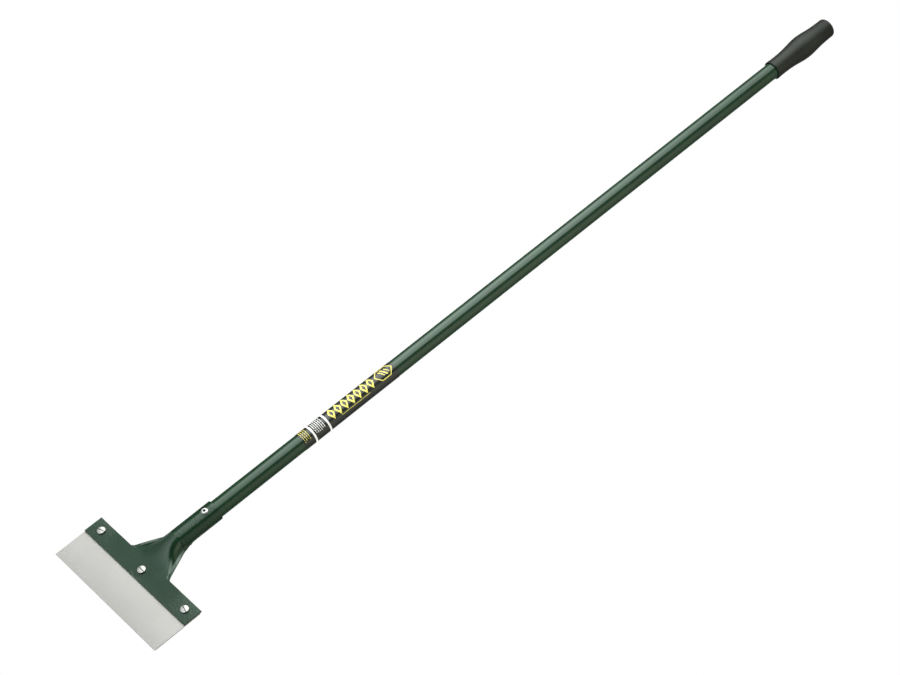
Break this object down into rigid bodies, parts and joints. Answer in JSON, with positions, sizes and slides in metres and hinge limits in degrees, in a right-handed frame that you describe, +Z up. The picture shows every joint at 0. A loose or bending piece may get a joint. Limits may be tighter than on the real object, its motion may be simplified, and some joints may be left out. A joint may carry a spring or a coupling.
{
  "type": "long-handled blade scraper",
  "caption": "Long-handled hand scraper: wide flat steel blade screwed behind a pressed green steel head, socketed and riveted to a straight tubular shaft with a swelled rubber end grip.",
  "frame": {"origin": "on the shaft's axis at the level of the blade's working edge, the bottom centre of the bounding box", "axes": "+Z up the shaft towards the grip; X across the blade's width; the head's front face looks along -Y, with the blade, nuts and washers on its +Y side"},
  "size_m": [0.254, 0.042, 1.5935],
  "materials": {
    "green_paint": "gloss dark green stoved enamel with slight orange peel",
    "blade_steel": "satin ground spring steel, light warm grey",
    "grip_rubber": "matt charcoal moulded rubber with a fine texture at the closed end",
    "label_film": null,
    "bright_zinc": "bright zinc plate",
    "rivet_aluminium": "bright drawn aluminium",
    "mandrel_steel": "dark broken steel"
  },
  "bodies": {
    "root": {"head": "green_paint", "blade": "blade_steel", "shaft_tube": "green_paint", "grip": "grip_rubber", "label_film": "label_film", "rivet_shell": "rivet_aluminium", "rivet_mandrel": "mandrel_steel", "screw_left": "bright_zinc", "screw_middle": "bright_zinc", "screw_right": "bright_zinc", "flat_washer_left": "bright_zinc", "flat_washer_middle": "bright_zinc", "flat_washer_right": "bright_zinc"},
    "washer_left": {"spring_washer_left": "bright_zinc"},
    "nut_left": {"nut_left": "bright_zinc"},
    "washer_middle": {"spring_washer_middle": "bright_zinc"},
    "nut_middle": {"nut_middle": "bright_zinc"},
    "washer_right": {"spring_washer_right": "bright_zinc"},
    "nut_right": {"nut_right": "bright_zinc"}
  },
  "joints": [
    {"name": "nut_left_travel", "type": "slide", "parent": "root", "child": "washer_left", "axis": [0, 1, 0], "range_m": [0, 0.0075]},
    {"name": "nut_left_turn", "type": "hinge", "parent": "washer_left", "child": "nut_left", "pos_m": [-0.106, 0.0135, 0.0736], "axis": [0, 1, 0], "range_deg": [0, 2700]},
    {"name": "nut_middle_travel", "type": "slide", "parent": "root", "child": "washer_middle", "axis": [0, 1, 0], "range_m": [0, 0.0075]},
    {"name": "nut_middle_turn", "type": "hinge", "parent": "washer_middle", "child": "nut_middle", "pos_m": [0, 0.0135, 0.0724], "axis": [0, 1, 0], "range_deg": [0, 2700]},
    {"name": "nut_right_travel", "type": "slide", "parent": "root", "child": "washer_right", "axis": [0, 1, 0], "range_m": [0, 0.0075]},
    {"name": "nut_right_turn", "type": "hinge", "parent": "washer_right", "child": "nut_right", "pos_m": [0.106, 0.0135, 0.0736], "axis": [0, 1, 0], "range_deg": [0, 2700]}
  ],
  "couplings": [
    {"joint": "nut_left_turn", "follows": "nut_left_travel", "rad_per_m": 6283.2},
    {"joint": "nut_middle_turn", "follows": "nut_middle_travel", "rad_per_m": 6283.2},
    {"joint": "nut_right_turn", "follows": "nut_right_travel", "rad_per_m": 6283.2}
  ]
}
